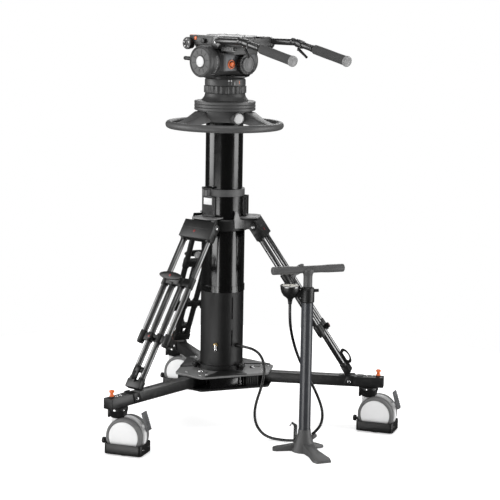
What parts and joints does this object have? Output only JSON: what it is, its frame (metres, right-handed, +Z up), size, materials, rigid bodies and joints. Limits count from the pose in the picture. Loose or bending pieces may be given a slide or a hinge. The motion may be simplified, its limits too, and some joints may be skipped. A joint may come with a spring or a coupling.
{
  "type": "studio camera stand",
  "caption": "Studio camera pedestal: a braced air column on a folding castered dolly, with a steering ring, a fluid head with pan bars and a sliding plate, and a floor pump.",
  "frame": {"origin": "on the floor, on the column's axis", "axes": "+Z up along the column; -Y towards the side that the release valve and the pump are on"},
  "size_m": [1.0662, 1.1107, 1.433],
  "materials": {
    "arm_paint": "satin",
    "orange_plastic": "gloss",
    "caster_paint": "gloss",
    "tyre_rubber": "matte",
    "grey_plastic": "satin",
    "satin_aluminium": "satin",
    "black_plastic": "satin",
    "hub_paint": "satin",
    "black_gloss": "gloss",
    "steel": "satin",
    "ring_paint": "satin",
    "head_paint": "satin",
    "bar_metal": "satin",
    "grip_foam": "matte",
    "cast_grey": "satin",
    "brass": "satin",
    "hose_rubber": "gloss"
  },
  "bodies": {
    "stand": {"hub_lower_plate": "hub_paint", "hub_upper_plate": "hub_paint", "hub_bolts": "hub_paint", "base_barrel": "black_gloss", "lower_tube": "black_gloss", "mid_housing": "black_gloss", "column_collar": "black_gloss", "leg_crown": "black_gloss", "pump_body": "cast_grey", "air_hose": "hose_rubber", "gauge_hose": "hose_rubber"},
    "arm_right": {"arm_right": "arm_paint"},
    "pull_knob_right": {"pull_knob_right": "orange_plastic"},
    "caster_right": {"caster_frame_right": "caster_paint"},
    "wheels_right": {"caster_wheels_right": "tyre_rubber"},
    "brake_pedal_right": {"brake_pedal_right": "grey_plastic"},
    "leg_right": {"leg_frame_right": "satin_aluminium"},
    "leg_stage_right": {"leg_stage_right": "satin_aluminium"},
    "leg_lever_right": {"leg_lever_right": "black_plastic"},
    "arm_rear": {"arm_rear": "arm_paint"},
    "pull_knob_rear": {"pull_knob_rear": "orange_plastic"},
    "caster_rear": {"caster_frame_rear": "caster_paint"},
    "wheels_rear": {"caster_wheels_rear": "tyre_rubber"},
    "brake_pedal_rear": {"brake_pedal_rear": "grey_plastic"},
    "leg_rear": {"leg_frame_rear": "satin_aluminium"},
    "leg_stage_rear": {"leg_stage_rear": "satin_aluminium"},
    "leg_lever_rear": {"leg_lever_rear": "black_plastic"},
    "arm_left": {"arm_left": "arm_paint"},
    "pull_knob_left": {"pull_knob_left": "orange_plastic"},
    "caster_left": {"caster_frame_left": "caster_paint"},
    "wheels_left": {"caster_wheels_left": "tyre_rubber"},
    "brake_pedal_left": {"brake_pedal_left": "grey_plastic"},
    "leg_left": {"leg_frame_left": "satin_aluminium"},
    "leg_stage_left": {"leg_stage_left": "satin_aluminium"},
    "leg_lever_left": {"leg_lever_left": "black_plastic"},
    "collar_lever": {"collar_lever": "steel"},
    "release_valve": {"release_valve": "brass"},
    "pump_handle": {"pump_handle": "cast_grey"},
    "pump_hook": {"pump_hook": "steel"},
    "pan_drag_ring": {"pan_drag_ring": "head_paint"},
    "tilt_drag_dial": {"tilt_drag_dial": "head_paint"},
    "counterbalance_knob": {"counterbalance_knob": "black_plastic"},
    "light_button": {"light_button": "orange_plastic"},
    "tilt_brake_lever": {"tilt_brake_lever": "black_plastic"},
    "camera_plate": {"camera_plate": "steel"},
    "plate_lock_knob": {"plate_lock_knob": "black_plastic"},
    "lift": {"upper_tube": "black_gloss", "column_piston": "steel", "turntable": "ring_paint", "steering_ring": "ring_paint", "head_base": "head_paint"},
    "pan": {"pan_body": "head_paint"},
    "tilt": {"tilt_body": "head_paint", "platform": "head_paint"},
    "bar_left": {"pan_bar_left": "bar_metal"},
    "bar_grip_left": {"bar_grip_left": "grip_foam"},
    "bar_lever_left": {"bar_lever_left": "black_plastic"},
    "bar_right": {"pan_bar_right": "bar_metal"},
    "bar_grip_right": {"bar_grip_right": "grip_foam"},
    "bar_lever_right": {"bar_lever_right": "black_plastic"}
  },
  "joints": [
    {"name": "arm_swing_right", "type": "hinge", "parent": "stand", "child": "arm_right", "pos_m": [0.11559, -0.0181, 0.163], "axis": [0, 0, 1], "range_deg": [0, 40]},
    {"name": "swivel_lock_pull_right", "type": "slide", "parent": "arm_right", "child": "pull_knob_right", "axis": [0, 0, 1], "range_m": [0, 0.008], "stiffness_N_per_m": 400},
    {"name": "caster_swivel_right", "type": "hinge", "parent": "arm_right", "child": "caster_right", "pos_m": [0.54535, -0.0854, 0.157], "axis": [0, 0, 1], "continuous": true},
    {"name": "wheel_roll_right", "type": "hinge", "parent": "caster_right", "child": "wheels_right", "pos_m": [0.57845, -0.0968, 0.066], "axis": [0.3256, 0.9455, 0], "continuous": true},
    {"name": "brake_press_right", "type": "hinge", "parent": "caster_right", "child": "brake_pedal_right", "pos_m": [0.63602, -0.11662, 0.10405], "axis": [0.3256, 0.9455, 0], "range_deg": [0, 12]},
    {"name": "leg_spread_right", "type": "hinge", "parent": "stand", "child": "leg_right", "pos_m": [0.11954, -0.01872, 0.745], "axis": [-0.1547, -0.988, 0], "range_deg": [0, 40]},
    {"name": "leg_retract_right", "type": "slide", "parent": "leg_right", "child": "leg_stage_right", "axis": [-0.5498, 0.0861, 0.8309], "range_m": [0, 0.08]},
    {"name": "leg_lock_right", "type": "hinge", "parent": "leg_stage_right", "child": "leg_lever_right", "pos_m": [0.2416, -0.03783, 0.56055], "axis": [0.8209, -0.1285, 0.5565], "range_deg": [-80, 0]},
    {"name": "arm_swing_rear", "type": "hinge", "parent": "stand", "child": "arm_rear", "pos_m": [-0.04212, 0.10916, 0.163], "axis": [0, 0, 1], "range_deg": [0, 40]},
    {"name": "swivel_lock_pull_rear", "type": "slide", "parent": "arm_rear", "child": "pull_knob_rear", "axis": [0, 0, 1], "range_m": [0, 0.008], "stiffness_N_per_m": 400},
    {"name": "caster_swivel_rear", "type": "hinge", "parent": "arm_rear", "child": "caster_rear", "pos_m": [-0.19872, 0.51499, 0.157], "axis": [0, 0, 1], "continuous": true},
    {"name": "wheel_roll_rear", "type": "hinge", "parent": "caster_rear", "child": "wheels_rear", "pos_m": [-0.16562, 0.5036, 0.066], "axis": [0.3256, 0.9455, 0], "continuous": true},
    {"name": "brake_press_rear", "type": "hinge", "parent": "caster_rear", "child": "brake_pedal_rear", "pos_m": [-0.10805, 0.48377, 0.10405], "axis": [0.3256, 0.9455, 0], "range_deg": [0, 12]},
    {"name": "leg_spread_rear", "type": "hinge", "parent": "stand", "child": "leg_rear", "pos_m": [-0.04356, 0.11289, 0.745], "axis": [0.933, 0.36, 0], "range_deg": [0, 40]},
    {"name": "leg_retract_rear", "type": "slide", "parent": "leg_rear", "child": "leg_stage_rear", "axis": [0.2003, -0.5192, 0.8309], "range_m": [0, 0.08]},
    {"name": "leg_lock_rear", "type": "hinge", "parent": "leg_stage_rear", "child": "leg_lever_rear", "pos_m": [-0.08803, 0.22814, 0.56055], "axis": [-0.2991, 0.7752, 0.5565], "range_deg": [-80, 0]},
    {"name": "arm_swing_left", "type": "hinge", "parent": "stand", "child": "arm_left", "pos_m": [-0.07347, -0.09105, 0.163], "axis": [0, 0, 1], "range_deg": [0, 40]},
    {"name": "swivel_lock_pull_left", "type": "slide", "parent": "arm_left", "child": "pull_knob_left", "axis": [0, 0, 1], "range_m": [0, 0.008], "stiffness_N_per_m": 400},
    {"name": "caster_swivel_left", "type": "hinge", "parent": "arm_left", "child": "caster_left", "pos_m": [-0.34664, -0.42959, 0.157], "axis": [0, 0, 1], "continuous": true},
    {"name": "wheel_roll_left", "type": "hinge", "parent": "caster_left", "child": "wheels_left", "pos_m": [-0.31354, -0.44099, 0.066], "axis": [0.3256, 0.9455, 0], "continuous": true},
    {"name": "brake_press_left", "type": "hinge", "parent": "caster_left", "child": "brake_pedal_left", "pos_m": [-0.25597, -0.46081, 0.10405], "axis": [0.3256, 0.9455, 0], "range_deg": [0, 12]},
    {"name": "leg_spread_left", "type": "hinge", "parent": "stand", "child": "leg_left", "pos_m": [-0.07598, -0.09417, 0.745], "axis": [-0.7782, 0.628, 0], "range_deg": [0, 40]},
    {"name": "leg_retract_left", "type": "slide", "parent": "leg_left", "child": "leg_stage_left", "axis": [0.3495, 0.4331, 0.8309], "range_m": [0, 0.08]},
    {"name": "leg_lock_left", "type": "hinge", "parent": "leg_stage_left", "child": "leg_lever_left", "pos_m": [-0.15356, -0.19031, 0.56055], "axis": [-0.5217, -0.6466, 0.5565], "range_deg": [-80, 0]},
    {"name": "column_lift", "type": "slide", "parent": "stand", "child": "lift", "axis": [0, 0, 1], "range_m": [-0.17, 0.25]},
    {"name": "collar_clamp", "type": "hinge", "parent": "stand", "child": "collar_lever", "pos_m": [-0.06963, -0.04875, 0.878], "axis": [0, 0, 1], "range_deg": [-75, 10]},
    {"name": "valve_turn", "type": "hinge", "parent": "stand", "child": "release_valve", "pos_m": [-0.01911, -0.07665, 0.307], "axis": [-0.2419, -0.9703, 0], "range_deg": [0, 270]},
    {"name": "pump_stroke", "type": "slide", "parent": "stand", "child": "pump_handle", "axis": [0, 0, 1], "range_m": [0, 0.38]},
    {"name": "hook_fold", "type": "hinge", "parent": "stand", "child": "pump_hook", "pos_m": [0.27, -0.34, 0.02], "axis": [0, -1, 0], "range_deg": [0, 55]},
    {"name": "drag_ring_turn", "type": "hinge", "parent": "lift", "child": "pan_drag_ring", "pos_m": [0, 0, 1.251], "axis": [0, 0, 1], "range_deg": [0, 300]},
    {"name": "head_pan", "type": "hinge", "parent": "lift", "child": "pan", "pos_m": [0, 0, 1.277], "axis": [0, 0, 1], "continuous": true},
    {"name": "head_tilt", "type": "hinge", "parent": "pan", "child": "tilt", "pos_m": [0.00566, -0.00566, 1.339], "axis": [0.7071, 0.7071, 0], "range_deg": [-60, 11]},
    {"name": "tilt_brake", "type": "hinge", "parent": "pan", "child": "tilt_brake_lever", "pos_m": [-0.10182, -0.0396, 1.345], "axis": [0.7071, -0.7071, 0], "range_deg": [-45, 30]},
    {"name": "tilt_drag", "type": "hinge", "parent": "pan", "child": "tilt_drag_dial", "pos_m": [-0.07495, -0.08627, 1.339], "axis": [0.7071, 0.7071, 0], "range_deg": [0, 300]},
    {"name": "counterbalance_turn", "type": "hinge", "parent": "tilt", "child": "counterbalance_knob", "pos_m": [0.06152, -0.04031, 1.33], "axis": [0.7071, -0.7071, 0], "continuous": true},
    {"name": "light_press", "type": "slide", "parent": "tilt", "child": "light_button", "axis": [-0.7071, 0.7071, 0], "range_m": [0, 0.003], "stiffness_N_per_m": 500},
    {"name": "plate_slide", "type": "slide", "parent": "tilt", "child": "camera_plate", "axis": [0.7071, -0.7071, 0], "range_m": [-0.045, 0.02]},
    {"name": "plate_lock", "type": "hinge", "parent": "tilt", "child": "plate_lock_knob", "pos_m": [-0.07637, -0.0198, 1.41], "axis": [0.7071, 0.7071, 0], "range_deg": [0, 180]},
    {"name": "bar_angle_left", "type": "hinge", "parent": "tilt", "child": "bar_left", "pos_m": [-0.03041, -0.09405, 1.407], "axis": [0.7071, 0.7071, 0], "range_deg": [-40, 25]},
    {"name": "bar_extend_left", "type": "slide", "parent": "bar_left", "child": "bar_grip_left", "axis": [0.689, -0.689, -0.225], "range_m": [0, 0.045]},
    {"name": "bar_clamp_left", "type": "hinge", "parent": "bar_left", "child": "bar_lever_left", "pos_m": [0.07601, -0.20046, 1.4085], "axis": [-0.1591, 0.1591, -0.9744], "range_deg": [-60, 20]},
    {"name": "bar_angle_right", "type": "hinge", "parent": "tilt", "child": "bar_right", "pos_m": [0.15627, -0.03182, 1.407], "axis": [0.7071, 0.7071, 0], "range_deg": [-40, 25]},
    {"name": "bar_extend_right", "type": "slide", "parent": "bar_right", "child": "bar_grip_right", "axis": [0.689, -0.689, -0.225], "range_m": [0, 0.045]},
    {"name": "bar_clamp_right", "type": "hinge", "parent": "bar_right", "child": "bar_lever_right", "pos_m": [0.26268, -0.13823, 1.4085], "axis": [-0.1591, 0.1591, -0.9744], "range_deg": [-60, 20]}
  ]
}
